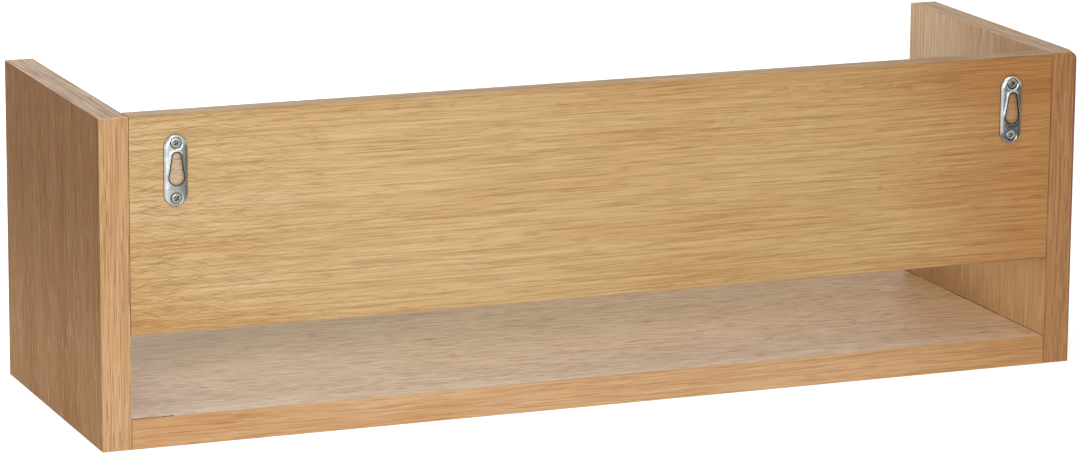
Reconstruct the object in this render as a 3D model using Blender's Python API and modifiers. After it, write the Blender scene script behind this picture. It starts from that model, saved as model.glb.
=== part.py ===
"""Wall shelf in oak veneered board, hung on two keyhole plates screwed to its back.

Units are metres and +Z is up. The open front faces -Y and the wall is at +Y.
Left and right are as seen from the front, so the left side is at -X.
The origin is under the middle of the whole shelf, on the plane of its underside.
"""

import math

import bmesh
import bpy
from mathutils import Vector

# Overall size of the wooden box
WIDTH = 0.640
DEPTH = 0.200
HEIGHT = 0.200

# Boards
SIDE_THICKNESS = 0.018
SHELF_THICKNESS = 0.018
BACK_THICKNESS = 0.015
REAR_SLOT_HEIGHT = 0.051  # open gap between the shelf and the back board

# Solid oak edging glued round the boards
EDGING_THICKNESS = 0.002
OUTER_ROUNDING = 0.0015  # on the outer edges of a side
EDGE_EASING = 0.0005  # on every other edge that a hand can reach
ROUNDING_WALL_SHARE = 0.75  # a rounding takes no more than this of the edging
ROUNDING_STEPS = 3

# Clearances
GLUE_LINE = 0.0003  # between a board and its edging
JOINT_GAP = 0.0003  # between the boards, and round a dowel or a screw
SEAT_GAP = 0.0003  # under a hanger plate
CUT_OVERRUN = 0.001

# Fluted beech dowels in blind sockets
SHELF_DOWEL_DIAMETER = 0.008
BACK_DOWEL_DIAMETER = 0.006
DOWEL_LENGTH = 0.030
DOWEL_CHAMFER = 0.0008
DOWEL_FLUTE_DEPTH = 0.0004
DOWEL_FLUTES = 12
DOWEL_IN_SIDE_SHARE = 0.6  # of the side's thickness
SHELF_DOWEL_SHARES = {"front": 0.14, "middle": 0.5, "rear": 0.86}  # of the shelf's depth
BACK_DOWEL_SHARES = {"lower": 0.2, "upper": 0.8}  # of the back's height

# Keyhole hanger plates, pressed from zinc plated sheet
PLATE_LENGTH = 0.043
PLATE_WIDTH = 0.015
PLATE_RISE = 0.0022  # from the rim to the flat top
SHEET = 0.001
FLANK_WIDTH = 0.0026  # of the rounded slope from the rim to the flat top
HANGER_INSET = 0.0285  # from a side's inner face to the plate's middle
HANGER_TOP_MARGIN = 0.012  # from the shelf's top to the plate's tip

# Keyhole with its raised lip
SLOT_RADIUS = 0.0025  # at the top, where the wall screw comes to rest
SLOT_FOOT_RADIUS = 0.0043  # where the slot opens into the round entry
ENTRY_RADIUS = 0.0046
KEYHOLE_TOP = 0.011  # above the plate's middle
KEYHOLE_BOTTOM = 0.0084  # below the plate's middle
LIP_WIDTH = 0.00135
LIP_CREST = 0.0005  # width of the lip's flat crest
LIP_RISE = 0.0005

# Conical seats and their countersunk screws
SCREW_SPACING = 0.033
SEAT_HOLE_RADIUS = 0.0023
SEAT_FLOOR = 0.0004  # height of the cone's foot above the rim
SEAT_WALL = 0.0012
HEAD_RADIUS = 0.0031
HEAD_RIM = 0.0001
HEAD_CLEARANCE = 0.00042  # from the head's edge to its seat, along the radius
SHANK_RADIUS = 0.0016
TIP_LENGTH = 0.003
SCREW_BITE_SHARE = 0.73  # of the back's thickness
RECESS_REACH = 0.0018
RECESS_HALF_WIDTH = 0.0005
RECESS_DEPTH = 0.0011
RECESS_TAPER_SHARE = 0.55
SCREW_TURNS = {"upper": 38, "lower": 52}  # degrees that each screw came to rest at

# Facets
ROUND_STEPS = 24
ARC_STEPS = 14
FLANK_STEPS = 4

# Finishes: colour, roughness, metallic
FINISHES = {
    "oak_veneer": ("#C9A36E", 0.55, 0.0),
    "oak_edging": ("#C79F6C", 0.55, 0.0),
    "beech": ("#D8B88C", 0.7, 0.0),
    "zinc_plated_plate": ("#C4C8CB", 0.3, 1.0),
    "zinc_plated_screw": ("#B4B8BA", 0.35, 1.0),
}

# Places worked out from the sizes above
PLATE_STAND = SEAT_GAP + PLATE_RISE + LIP_RISE
FRONT = -(DEPTH + PLATE_STAND) / 2
REAR = FRONT + DEPTH
BACK_BOTTOM = SHELF_THICKNESS + REAR_SLOT_HEIGHT
BACK_HEIGHT = HEIGHT - BACK_BOTTOM
INNER_HALF_WIDTH = WIDTH / 2 - SIDE_THICKNESS
EDGING_INSET = EDGING_THICKNESS + GLUE_LINE
ROUNDING_LIMIT = ROUNDING_WALL_SHARE * EDGING_THICKNESS
ROUNDED = min(OUTER_ROUNDING, ROUNDING_LIMIT)
EASED = min(EDGE_EASING, ROUNDING_LIMIT)
SIDE_SIGNS = {"left": -1, "right": 1}
PLATE_TOP = PLATE_RISE + LIP_RISE


# The scene

def clear_scene():
    for obj in list(bpy.data.objects):
        bpy.data.objects.remove(obj, do_unlink=True)


def new_collection(name):
    collection = bpy.data.collections.new(name)
    bpy.context.scene.collection.children.link(collection)
    return collection


clear_scene()
PARTS = new_collection("wall_shelf")
CUTTERS = new_collection("cutters")


def linear(hex_colour):
    """An sRGB hex colour as linear RGBA."""
    channels = [int(hex_colour[i : i + 2], 16) / 255 for i in (1, 3, 5)]
    return [c / 12.92 if c <= 0.04045 else ((c + 0.055) / 1.055) ** 2.4 for c in channels] + [1]


def paint(obj, finish):
    colour, roughness, metallic = FINISHES[finish]
    material = bpy.data.materials.new(f"{obj.name}_{finish}")
    material.use_nodes = True
    shader = material.node_tree.nodes["Principled BSDF"]
    shader.inputs["Base Color"].default_value = linear(colour)
    shader.inputs["Roughness"].default_value = roughness
    shader.inputs["Metallic"].default_value = metallic
    material.diffuse_color = linear(colour)
    obj.data.materials.append(material)


def group_at(name, location):
    """An empty that carries the pieces of one group."""
    empty = bpy.data.objects.new(name, None)
    empty.location = location
    PARTS.objects.link(empty)
    return empty


def add_object(name, bm, collection, parent):
    if bm.faces:
        bmesh.ops.recalc_face_normals(bm, faces=bm.faces)
    mesh = bpy.data.meshes.new(name)
    bm.to_mesh(mesh)
    bm.free()
    obj = bpy.data.objects.new(name, mesh)
    obj.parent = parent
    collection.objects.link(obj)
    return obj


def add_part(name, bm, finish, parent=None, sharp_above=None):
    """A piece of the shelf, shaded smooth below the angle where that is given in degrees."""
    obj = add_object(name, bm, PARTS, parent)
    paint(obj, finish)
    if sharp_above:
        obj.data.shade_smooth()
        obj.data.set_sharp_from_angle(angle=math.radians(sharp_above))
    return obj


def add_cutter(name, bm, parent=None):
    obj = add_object(name, bm, CUTTERS, parent)
    obj.hide_render = True
    obj.display_type = "WIRE"
    return obj


def combine(obj, other, operation="DIFFERENCE"):
    modifier = obj.modifiers.new(other.name, "BOOLEAN")
    modifier.operation = operation
    modifier.solver = "EXACT"
    modifier.object = other


# Shapes

def loft(rings):
    """A closed solid through rings of points that all have the same count."""
    bm = bmesh.new()
    loops = [[bm.verts.new(point) for point in ring] for ring in rings]
    for lower, upper in zip(loops, loops[1:]):
        for i, vert in enumerate(lower):
            bm.faces.new((lower[i - 1], vert, upper[i], upper[i - 1]))
    bm.faces.new(loops[0])
    bm.faces.new(loops[-1])
    return bm


def cylinder(radius, length):
    """A cylinder along Z, centred on the origin."""
    bm = bmesh.new()
    bmesh.ops.create_cone(
        bm, cap_ends=True, segments=ROUND_STEPS, radius1=radius, radius2=radius, depth=length
    )
    return bm


def profile(points):
    """An open line of (radius, height) points, for turned() to revolve."""
    bm = bmesh.new()
    verts = [bm.verts.new((x, 0, z)) for x, z in points]
    for pair in zip(verts, verts[1:]):
        bm.edges.new(pair)
    return bm


def turned(obj):
    """Revolves an object's profile about its own Z."""
    screw = obj.modifiers.new("turned", "SCREW")
    screw.axis = "Z"
    screw.steps = ROUND_STEPS
    screw.render_steps = ROUND_STEPS
    screw.use_merge_vertices = True
    screw.merge_threshold = JOINT_GAP / 100
    return obj


def arc(centre, radius, start, end):
    """Points (x, y) on an arc from angle start to end in degrees, both ends included."""
    angles = [math.radians(start + (end - start) * i / ARC_STEPS) for i in range(ARC_STEPS + 1)]
    return [(centre[0] + radius * math.cos(a), centre[1] + radius * math.sin(a)) for a in angles]


def at_height(outline, height):
    return [Vector((x, y, height)) for x, y in outline]


# Boards

def edge_name(edge):
    """Names an edge of the unit cube by the two faces that it joins, such as "+x-z"."""
    signs = {1: "+", -1: "-"}
    ends = edge.verts[0].co + edge.verts[1].co
    return "".join(signs[round(value)] + axis for axis, value in zip("xyz", ends) if round(value))


def board(name, low, high, finish, parent, rounding=None):
    """A box between two corners, whose named edges are rounded to the given radii."""
    rounding = rounding or {}
    widest = max(rounding.values(), default=0)
    bm = bmesh.new()
    bmesh.ops.create_cube(bm, size=1)
    weights = bm.edges.layers.float.new("bevel_weight_edge")
    for edge in bm.edges:
        radius = rounding.get(edge_name(edge), 0)
        if radius:
            edge[weights] = radius / widest
    low, high = Vector(low), Vector(high)
    bmesh.ops.scale(bm, vec=high - low, verts=bm.verts)
    obj = add_part(name, bm, finish, parent)
    obj.location = (low + high) / 2
    if widest:
        bevel = obj.modifiers.new("eased edges", "BEVEL")
        bevel.limit_method = "WEIGHT"
        bevel.width = widest
        bevel.segments = ROUNDING_STEPS
    return obj


def side_panel(name, sign):
    """One side: a board with edging on all four of its edges. Returns the board."""
    group = group_at(name, (sign * (WIDTH - SIDE_THICKNESS) / 2, FRONT, 0))
    half = SIDE_THICKNESS / 2
    outer, inner = ("+x", "-x") if sign > 0 else ("-x", "+x")
    core = board(
        f"{name}_board",
        (-half, EDGING_INSET, EDGING_INSET),
        (half, DEPTH - EDGING_INSET, HEIGHT - EDGING_INSET),
        "oak_veneer",
        group,
    )
    uprights = (("front", "-y", 0), ("rear", "+y", DEPTH - EDGING_THICKNESS))
    for spot, face, start in uprights:
        board(
            f"{name}_{spot}_edging",
            (-half, start, 0),
            (half, start + EDGING_THICKNESS, HEIGHT),
            "oak_edging",
            group,
            {
                outer + face: ROUNDED,
                inner + face: EASED,
                outer + "+z": ROUNDED,
                inner + "+z": EASED,
                face + "+z": EASED,
                face + "-z": EASED,
            },
        )
    flats = (("bottom", "-z", 0, EASED), ("top", "+z", HEIGHT - EDGING_THICKNESS, ROUNDED))
    for spot, face, start, outer_radius in flats:
        board(
            f"{name}_{spot}_edging",
            (-half, EDGING_INSET, start),
            (half, DEPTH - EDGING_INSET, start + EDGING_THICKNESS),
            "oak_edging",
            group,
            {outer + face: outer_radius, inner + face: EASED},
        )
    return core


def back_panel():
    """The back, flush with the sides' rear edges and with their tops. Returns its board."""
    group = group_at("back", (0, REAR - BACK_THICKNESS, BACK_BOTTOM))
    half = INNER_HALF_WIDTH - JOINT_GAP
    core = board(
        "back_board",
        (-half, 0, EDGING_INSET),
        (half, BACK_THICKNESS, BACK_HEIGHT - EDGING_INSET),
        "oak_veneer",
        group,
    )
    edgings = (("bottom", "-z", 0), ("top", "+z", BACK_HEIGHT - EDGING_THICKNESS))
    for spot, face, start in edgings:
        board(
            f"back_{spot}_edging",
            (-half, 0, start),
            (half, BACK_THICKNESS, start + EDGING_THICKNESS),
            "oak_edging",
            group,
            {"+y" + face: EASED, "-y" + face: EASED},
        )
    return core


def bottom_shelf():
    """The shelf, as deep as the sides and flush with their undersides. Returns its board."""
    group = group_at("shelf", (0, FRONT, 0))
    half = INNER_HALF_WIDTH - JOINT_GAP
    core = board(
        "shelf_board",
        (-half, EDGING_INSET, 0),
        (half, DEPTH - EDGING_INSET, SHELF_THICKNESS),
        "oak_veneer",
        group,
    )
    edgings = (("front", "-y", 0), ("rear", "+y", DEPTH - EDGING_THICKNESS))
    for spot, face, start in edgings:
        board(
            f"shelf_{spot}_edging",
            (-half, start, 0),
            (half, start + EDGING_THICKNESS, SHELF_THICKNESS),
            "oak_edging",
            group,
            {face + "+z": EASED, face + "-z": EASED},
        )
    return core


# Dowel joints

def fluted_ring(radius, height):
    """The star-shaped section of a fluted dowel."""
    points = []
    for i in range(2 * DOWEL_FLUTES):
        reach = radius - DOWEL_FLUTE_DEPTH * (i % 2)
        angle = math.pi * i / DOWEL_FLUTES
        points.append(Vector((reach * math.cos(angle), reach * math.sin(angle), height)))
    return points


def dowel(name, radius):
    """A fluted dowel along its own Z, centred, with chamfered ends."""
    end = DOWEL_LENGTH / 2
    shoulder = end - DOWEL_CHAMFER
    tip_radius = radius - DOWEL_CHAMFER
    rings = [
        fluted_ring(tip_radius, -end),
        fluted_ring(radius, -shoulder),
        fluted_ring(radius, shoulder),
        fluted_ring(tip_radius, end),
    ]
    return add_part(name, loft(rings), "beech")


def lay_across(obj, near, far):
    """Turns an object's own Z along X and centres it between two points."""
    obj.rotation_euler = (0, math.pi / 2, 0)
    obj.location = (near + far) / 2


def dowel_joint(name, sign, side, rail, y, z, diameter):
    """A dowel in two blind sockets, from a side into the end of the board that meets it."""
    radius = diameter / 2
    outwards = Vector((sign, 0, 0))
    seam = Vector((sign * INNER_HALF_WIDTH, y, z))
    outer_end = seam + DOWEL_IN_SIDE_SHARE * SIDE_THICKNESS * outwards
    inner_end = outer_end - DOWEL_LENGTH * outwards
    lay_across(dowel(name, radius), inner_end, outer_end)

    sockets = (
        (side, seam - CUT_OVERRUN * outwards, outer_end + JOINT_GAP * outwards),
        (rail, inner_end - JOINT_GAP * outwards, seam + CUT_OVERRUN * outwards),
    )
    for piece, near, far in sockets:
        bore = cylinder(radius + JOINT_GAP, (far - near).length)
        cutter = add_cutter(f"cut_{piece.name}_{name}", bore)
        lay_across(cutter, near, far)
        combine(piece, cutter)


# Hanger plates. In a hanger's own frame X runs across, Y up the wall and Z out of the wood.

def obround(inset=0):
    """The plate's outline: two straight sides and two round ends."""
    radius = PLATE_WIDTH / 2 - inset
    reach = (PLATE_LENGTH - PLATE_WIDTH) / 2
    return arc((0, reach), radius, 0, 180) + arc((0, -reach), radius, 180, 360)


def keyhole(offset=0):
    """The keyhole's outline, grown outwards by offset."""
    slot = SLOT_RADIUS + offset
    foot = SLOT_FOOT_RADIUS + offset
    entry = ENTRY_RADIUS + offset
    shoulder = math.degrees(math.acos(min(foot / entry, 1)))
    top = arc((0, KEYHOLE_TOP - SLOT_RADIUS), slot, 0, 180)
    return top + arc((0, ENTRY_RADIUS - KEYHOLE_BOTTOM), entry, 180 - shoulder, 360 + shoulder)


def dome(inset, height):
    """Rings up the plate's rounded flank to its flat top."""
    rings = []
    for i in range(FLANK_STEPS + 1):
        angle = math.pi / 2 * i / FLANK_STEPS
        outline = obround(inset + FLANK_WIDTH * (1 - math.cos(angle)))
        rings.append(at_height(outline, height * math.sin(angle)))
    return rings


def seat_cutter(name, foot_radius, y, plate):
    """A turned cone at 45 degrees that opens outwards from the seat's floor."""
    top = PLATE_TOP + CUT_OVERRUN
    points = (
        (0, top),
        (foot_radius + top - SEAT_FLOOR, top),
        (foot_radius, SEAT_FLOOR),
        (foot_radius, -CUT_OVERRUN),
        (0, -CUT_OVERRUN),
    )
    cutter = turned(add_cutter(name, profile(points), plate))
    cutter.location = (0, y, 0)
    return cutter


def hanger_plate(name, group):
    """A hollow pressed dome with a lipped keyhole and a conical screw seat at each end."""
    plate = add_part(
        f"{name}_plate", loft(dome(0, PLATE_RISE)), "zinc_plated_plate", group, sharp_above=40
    )
    plate.location = (0, 0, SEAT_GAP)

    lip_rings = [
        at_height(keyhole(LIP_WIDTH), PLATE_RISE - SHEET / 2),
        at_height(keyhole(LIP_WIDTH), PLATE_RISE),
        at_height(keyhole(LIP_CREST), PLATE_TOP),
    ]
    hollow_rings = [at_height(obround(SHEET), -CUT_OVERRUN)] + dome(SHEET, PLATE_RISE - SHEET)
    opening_rings = [
        at_height(keyhole(), -CUT_OVERRUN),
        at_height(keyhole(), PLATE_TOP + CUT_OVERRUN),
    ]
    hollow = add_cutter(f"cut_{name}_hollow", loft(hollow_rings), plate)
    combine(plate, add_cutter(f"cut_{name}_lip", loft(lip_rings), plate), "UNION")
    seats = []
    for end, direction in (("upper", 1), ("lower", -1)):
        y = direction * SCREW_SPACING / 2
        wall_radius = SEAT_HOLE_RADIUS + SEAT_WALL
        combine(hollow, seat_cutter(f"cut_{name}_{end}_wall", wall_radius, y, plate))
        seats.append(seat_cutter(f"cut_{name}_{end}_seat", SEAT_HOLE_RADIUS, y, plate))
    combine(plate, hollow)
    for seat in seats:
        combine(plate, seat)
    combine(plate, add_cutter(f"cut_{name}_keyhole", loft(opening_rings), plate))


def cross(share, height):
    """A plus-shaped ring for a screw's recess, at a share of its full size."""
    reach = share * RECESS_REACH
    half = share * RECESS_HALF_WIDTH
    points = []
    for turn in range(4):
        angle = turn * math.pi / 2
        for x, y in ((reach, -half), (reach, half), (half, half)):
            u = x * math.cos(angle) - y * math.sin(angle)
            v = x * math.sin(angle) + y * math.cos(angle)
            points.append(Vector((u, v, height)))
    return points


def countersunk_screw(name, group, length):
    """A countersunk screw along its own Z, with the top of its head at zero."""
    points = (
        (0, 0),
        (HEAD_RADIUS, 0),
        (HEAD_RADIUS, -HEAD_RIM),
        (SHANK_RADIUS, SHANK_RADIUS - HEAD_RADIUS - HEAD_RIM),
        (SHANK_RADIUS, TIP_LENGTH - length),
        (0, -length),
    )
    screw = turned(add_part(name, profile(points), "zinc_plated_screw", group))
    rings = [
        cross(RECESS_TAPER_SHARE, -RECESS_DEPTH),
        cross(1, 0),
        cross(1, CUT_OVERRUN),
    ]
    combine(screw, add_cutter(f"cut_{name}_recess", loft(rings), screw))
    return screw


def hanger(side_name, sign, back):
    """A keyhole plate on the back board, with its two screws and their pilot holes."""
    name = f"{side_name}_hanger"
    x = sign * (INNER_HALF_WIDTH - HANGER_INSET)
    z = HEIGHT - HANGER_TOP_MARGIN - PLATE_LENGTH / 2
    group = group_at(name, (x, REAR, z))
    group.rotation_euler = (math.pi / 2, 0, math.pi)
    hanger_plate(name, group)

    head_on_plate = SEAT_FLOOR + HEAD_RADIUS + HEAD_CLEARANCE - SEAT_HOLE_RADIUS + HEAD_RIM
    head_top = SEAT_GAP + head_on_plate
    bite = SCREW_BITE_SHARE * BACK_THICKNESS
    pilot_end = bite + JOINT_GAP
    for end, direction in (("upper", 1), ("lower", -1)):
        y = direction * SCREW_SPACING / 2
        screw = countersunk_screw(f"{name}_{end}_screw", group, head_top + bite)
        screw.location = (0, y, head_top)
        screw.rotation_euler = (0, 0, math.radians(SCREW_TURNS[end]))
        bore = cylinder(SHANK_RADIUS + JOINT_GAP, pilot_end + CUT_OVERRUN)
        pilot = add_cutter(f"cut_{name}_{end}_pilot", bore, group)
        pilot.location = (0, y, (CUT_OVERRUN - pilot_end) / 2)
        combine(back, pilot)


def build():
    sides = {name: side_panel(f"{name}_side", sign) for name, sign in SIDE_SIGNS.items()}
    back = back_panel()
    shelf = bottom_shelf()
    shelf_middle = SHELF_THICKNESS / 2
    back_middle = REAR - BACK_THICKNESS / 2
    for name, sign in SIDE_SIGNS.items():
        side = sides[name]
        for spot, share in SHELF_DOWEL_SHARES.items():
            y = FRONT + share * DEPTH
            dowel_name = f"shelf_dowel_{name}_{spot}"
            dowel_joint(dowel_name, sign, side, shelf, y, shelf_middle, SHELF_DOWEL_DIAMETER)
        for spot, share in BACK_DOWEL_SHARES.items():
            z = BACK_BOTTOM + share * BACK_HEIGHT
            dowel_name = f"back_dowel_{name}_{spot}"
            dowel_joint(dowel_name, sign, side, back, back_middle, z, BACK_DOWEL_DIAMETER)
        hanger(name, sign, back)


build()
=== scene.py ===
import math

import bmesh
import bpy
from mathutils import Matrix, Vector, geometry


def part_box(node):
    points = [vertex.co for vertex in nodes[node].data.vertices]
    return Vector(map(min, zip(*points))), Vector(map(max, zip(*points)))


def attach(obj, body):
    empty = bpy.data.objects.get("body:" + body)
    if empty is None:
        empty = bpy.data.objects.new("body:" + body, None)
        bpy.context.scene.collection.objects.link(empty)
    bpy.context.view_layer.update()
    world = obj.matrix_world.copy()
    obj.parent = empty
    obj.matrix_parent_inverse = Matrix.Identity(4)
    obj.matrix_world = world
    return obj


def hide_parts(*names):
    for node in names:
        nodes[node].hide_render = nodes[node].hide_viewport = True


# Wall shelf in lacquered oak, photographed from behind, with two keyhole plates on its back.
# The wall is at +Y, and the left side is at -X, seen from the open front. Lengths are in metres
# where no comment says millimetres.

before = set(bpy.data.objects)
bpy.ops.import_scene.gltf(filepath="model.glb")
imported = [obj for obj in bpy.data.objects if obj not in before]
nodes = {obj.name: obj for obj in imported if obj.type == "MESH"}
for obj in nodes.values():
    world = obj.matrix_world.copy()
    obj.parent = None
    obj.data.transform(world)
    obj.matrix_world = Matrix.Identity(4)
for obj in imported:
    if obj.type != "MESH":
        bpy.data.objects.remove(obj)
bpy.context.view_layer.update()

MM = 0.001

# Sizes that the visual pieces share with the CAD
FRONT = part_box("right_side_front_edging")[0].y
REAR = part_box("right_side_rear_edging")[1].y
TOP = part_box("right_side_top_edging")[1].z

# The way along x to each side
SIDES = {"left": -1, "right": 1}


# Making nodes and meshes

def linear(hex_colour):
    """An sRGB hex colour as linear RGBA."""
    channels = [int(hex_colour[i : i + 2], 16) / 255 for i in (1, 3, 5)]
    return [c / 12.92 if c <= 0.04045 else ((c + 0.055) / 1.055) ** 2.4 for c in channels] + [1]


def add_node(tree, kind, inputs=(), **settings):
    """Adds a node with its settings, and gives its inputs their values or links."""
    node = tree.nodes.new(kind)
    for name, value in settings.items():
        setattr(node, name, value)
    for name, value in dict(inputs).items():
        if isinstance(value, bpy.types.NodeSocket):
            tree.links.new(value, node.inputs[name])
        elif isinstance(value, str):
            node.inputs[name].default_value = linear(value)
        else:
            node.inputs[name].default_value = value
    return node


def new_material(name):
    material = bpy.data.materials.new(name)
    material.use_nodes = True
    return material, material.node_tree, material.node_tree.nodes["Principled BSDF"]


def new_object(name, bm):
    """An object in the scene with the mesh of a bmesh, which is freed."""
    mesh = bpy.data.meshes.new(name)
    bm.to_mesh(mesh)
    bm.free()
    made = bpy.data.objects.new(name, mesh)
    bpy.context.scene.collection.objects.link(made)
    return made


def add_piece(name, bm, materials, slot, *replaced):
    """A mesh that stands for CAD nodes and rides with the shelf."""
    bmesh.ops.recalc_face_normals(bm, faces=bm.faces)
    piece = new_object(name, bm)
    for material in materials:
        piece.data.materials.append(material)
    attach(piece, "root")
    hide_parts(*replaced)
    return piece


def apply_modifiers(piece):
    """Keeps the mesh that a piece's modifiers give, in place of the modifiers."""
    depsgraph = bpy.context.evaluated_depsgraph_get()
    mesh = bpy.data.meshes.new_from_object(piece.evaluated_get(depsgraph), depsgraph=depsgraph)
    piece.modifiers.clear()
    piece.data = mesh


def finish_node(name, material):
    """Gives a CAD node its material."""
    slots = nodes[name].data.materials
    slots.clear()
    slots.append(material)


def smooth(share):
    """Eases a share in and out between zero and one."""
    share = max(0, min(1, share))
    return share * share * (3 - 2 * share)


def plate_middle(side):
    """The middle of a hanger plate, on the surface of the back board."""
    low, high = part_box(f"{side}_hanger_plate")
    return Vector(((low.x + high.x) / 2, REAR, (low.z + high.z) / 2))


# Oak

# Turns of the object's coordinates that lay the grain along the pattern's first axis
GRAIN = {
    "across the back": (math.pi / 2, 0, 0),
    "along the shelf": (0, 0, 0),
    "up a side": (0, math.pi / 2, 0),
    "up a side's edge": (math.pi / 2, 0, math.pi / 2),
    "along a side's top": (0, 0, -math.pi / 2),
}

# What shows in sliced oak: the length and width of one mark in millimetres, and its detail
MARKS = {
    "figure": (190, 26, 2.0),  # broad paler and browner patches
    "rings": (300, 12, 1.5),  # growth rings: the noise's level lines, many to one mark
    "bands": (170, 1.6, 2.0),  # early and late wood, cut lengthwise
    "fibres": (50, 0.9, 1.0),  # fine silk along the grain, coarser than real so that it shows
    "pores": (19, 0.55, 0.5),  # open vessels, cut lengthwise into dark dashes
    "flecks": (14, 0.9, 0.5),  # rays, cut into short pale dashes
}
MARK_ROUGHNESS = 0.6

# The lines sway slowly, over this length and width in millimetres
SWAY = (230, 42)

# How many ring lines there are to one mark, and how far the fibres fray them
RING_LINES, RING_FRAY = 18, 0.9

# The noise values at which the four tones sit, and those between which the figure comes in
TONE_STOPS = (0.38, 0.46, 0.53, 0.62)
FIGURE_RANGE = (0.38, 0.64)

# A leaning line of the lattice: its length and width in millimetres, the noise values between
# which it comes in, and how strong it gets
LATTICE_LINE = (18, 0.62)
LATTICE_RANGE = (0.61, 0.64)
LATTICE_SHARE = 0.48

# How deep the pores sink beside the tones' own relief, and its height in millimetres
PORE_SINK = 0.4
RELIEF_HEIGHT = 0.15


def cells_of(length, width):
    """Factors that give noise cells of a length along the grain and a width across it."""
    return 1 / length, 1 / width, 1 / width


def grain_marks(tree, laid, wander, coarse):
    """The noise of each kind of mark, on lines that wander to the sides."""
    slow = add_node(
        tree, "ShaderNodeVectorMath", {0: laid, 1: cells_of(*SWAY)}, operation="MULTIPLY"
    ).outputs[0]
    sway = add_node(tree, "ShaderNodeTexNoise", {"Vector": slow, "Scale": 1, "Detail": 1})
    lines = add_node(
        tree,
        "ShaderNodeVectorMath",
        {0: sway.outputs["Color"], 1: (0, wander, wander), 2: laid},
        operation="MULTIPLY_ADD",
    ).outputs[0]

    marks = {}
    for mark, (length, width, detail) in MARKS.items():
        cells = add_node(
            tree,
            "ShaderNodeVectorMath",
            {0: lines, 1: cells_of(length * coarse[0], width * coarse[1])},
            operation="MULTIPLY",
        ).outputs[0]
        marks[mark] = add_node(
            tree,
            "ShaderNodeTexNoise",
            {"Vector": cells, "Scale": 1, "Detail": detail, "Roughness": MARK_ROUGHNESS},
        ).outputs["Fac"]

    turns = add_node(
        tree, "ShaderNodeMath", {0: marks["fibres"], 1: RING_FRAY}, operation="MULTIPLY"
    ).outputs[0]
    turns = add_node(
        tree,
        "ShaderNodeMath",
        {0: marks["rings"], 1: RING_LINES, 2: turns},
        operation="MULTIPLY_ADD",
    ).outputs[0]
    marks["rings"] = add_node(
        tree, "ShaderNodeMath", {0: turns, 1: 0.5}, operation="PINGPONG"
    ).outputs[0]
    return marks


def add_lattice(tree, laid, colour, line_tone, angle, start, end):
    """Two sets of lines lean across the grain, and come in along it from start to end.

    The angle is in degrees, and the places along the grain are in millimetres.
    """
    along = add_node(tree, "ShaderNodeSeparateXYZ", {0: laid}).outputs["X"]
    fade = add_node(
        tree,
        "ShaderNodeMapRange",
        {"Value": along, "From Min": start, "From Max": end, "To Max": LATTICE_SHARE},
    ).outputs[0]
    for side in (-1, 1):
        leaning = add_node(
            tree,
            "ShaderNodeMapping",
            {"Vector": laid, "Rotation": (0, 0, side * math.radians(angle))},
        ).outputs[0]
        cells = add_node(
            tree,
            "ShaderNodeVectorMath",
            {0: leaning, 1: cells_of(*LATTICE_LINE)},
            operation="MULTIPLY",
        ).outputs[0]
        crossing = add_node(
            tree, "ShaderNodeTexNoise", {"Vector": cells, "Scale": 1, "Detail": 1}
        ).outputs["Fac"]
        low, high = LATTICE_RANGE
        shown = add_node(
            tree, "ShaderNodeMapRange", {"Value": crossing, "From Min": low, "From Max": high}
        ).outputs[0]
        share = add_node(
            tree, "ShaderNodeMath", {0: shown, 1: fade}, operation="MULTIPLY"
        ).outputs[0]
        colour = add_node(
            tree, "ShaderNodeMix", {0: share, 6: colour, 7: line_tone}, data_type="RGBA"
        ).outputs[2]
    return colour


def add_drift(tree, place, colour, direction, start, end, tint):
    """A tint comes in along a direction, between two distances in metres."""
    reach = add_node(
        tree, "ShaderNodeVectorMath", {0: place, 1: direction}, operation="DOT_PRODUCT"
    ).outputs["Value"]
    share = add_node(
        tree,
        "ShaderNodeMapRange",
        {"Value": reach, "From Min": start, "From Max": end},
        interpolation_type="SMOOTHSTEP",
    ).outputs[0]
    return add_node(
        tree,
        "ShaderNodeMix",
        {0: share, 6: colour, 7: tint},
        data_type="RGBA",
        blend_type="MULTIPLY",
    ).outputs[2]


def paint_light_patch(tree, place, colour, spot, reach, paler):
    """Paints the wood paler within a reach about a spot and about its mirror image, as painted
    light.

    Places are in metres, and the mirror is the middle of the shelf.
    """
    apart = add_node(
        tree, "ShaderNodeVectorMath", {0: place}, operation="ABSOLUTE"
    ).outputs[0]
    for operation, by in (("SUBTRACT", spot), ("DIVIDE", reach)):
        apart = add_node(
            tree, "ShaderNodeVectorMath", {0: apart, 1: by}, operation=operation
        ).outputs[0]
    apart = add_node(
        tree, "ShaderNodeVectorMath", {0: apart}, operation="LENGTH"
    ).outputs["Value"]
    share = add_node(
        tree, "ShaderNodeMapRange", {"Value": apart, "From Min": 1, "From Max": 0.9}
    ).outputs[0]
    return add_node(
        tree,
        "ShaderNodeMix",
        {0: share, 6: colour, 7: paler},
        data_type="RGBA",
        blend_type="DIVIDE",
    ).outputs[2]


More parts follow.
